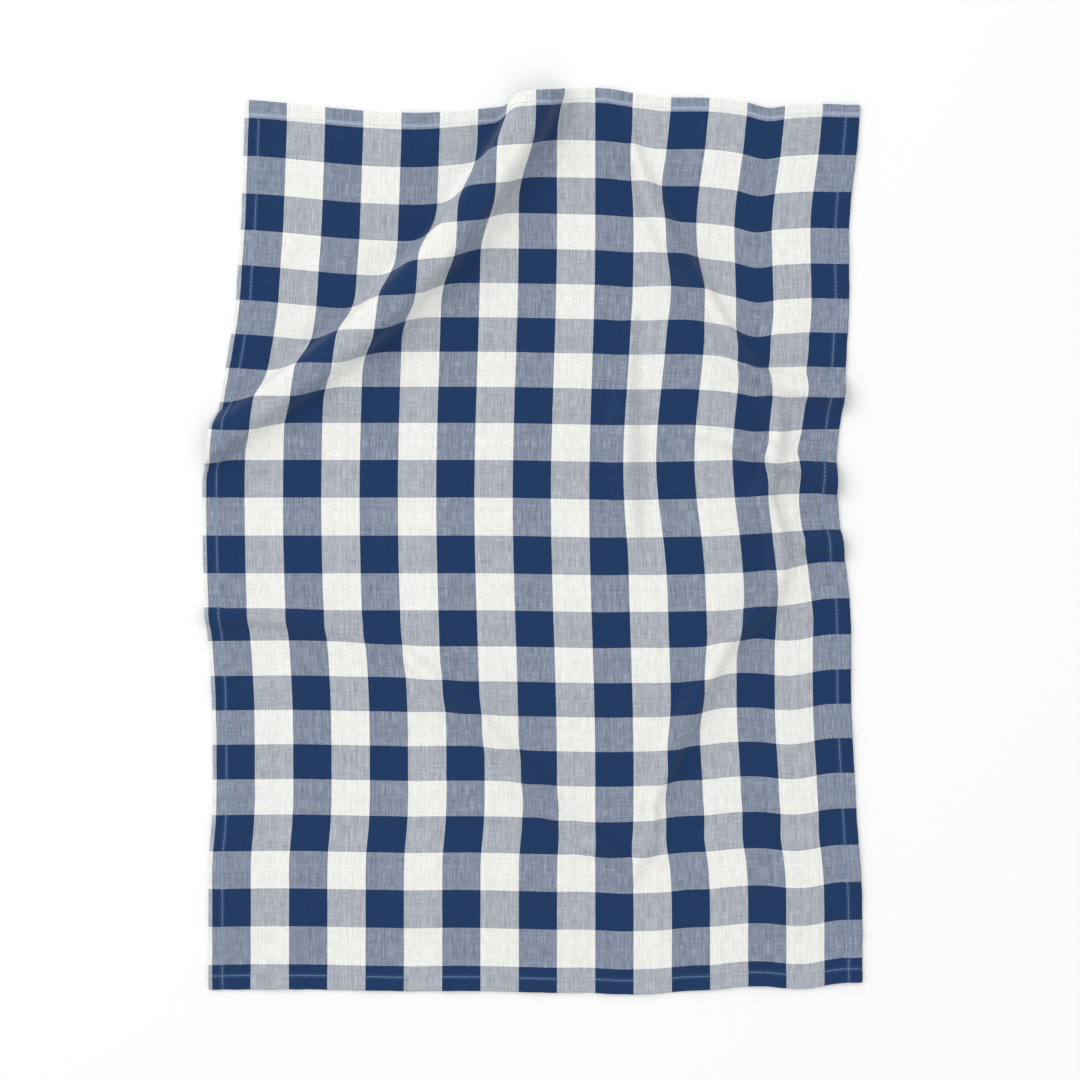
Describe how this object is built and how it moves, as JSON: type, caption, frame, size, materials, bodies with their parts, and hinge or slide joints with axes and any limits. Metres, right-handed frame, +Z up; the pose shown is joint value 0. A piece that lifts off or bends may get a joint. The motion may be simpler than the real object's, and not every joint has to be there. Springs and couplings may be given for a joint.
{
  "type": "tea towel",
  "caption": "Rumpled woven gingham tea towel lying flat, one cloth with turned and stitched hems on all sides, raised in a long diagonal ridge and smaller creases.",
  "frame": {"origin": "centre of the towel's outline, on the surface that it lies on", "axes": "+X to the right across the towel, +Y towards its upper end as seen from above, +Z up"},
  "size_m": [0.4946, 0.679, 0.0264],
  "materials": {
    "gingham_cotton": "plain-weave cotton, navy and white gingham, unglazed",
    "hem_thread": "pale cotton sewing thread, twisted"
  },
  "bodies": {
    "root": {"towel": "gingham_cotton"}
  },
  "joints": []
}
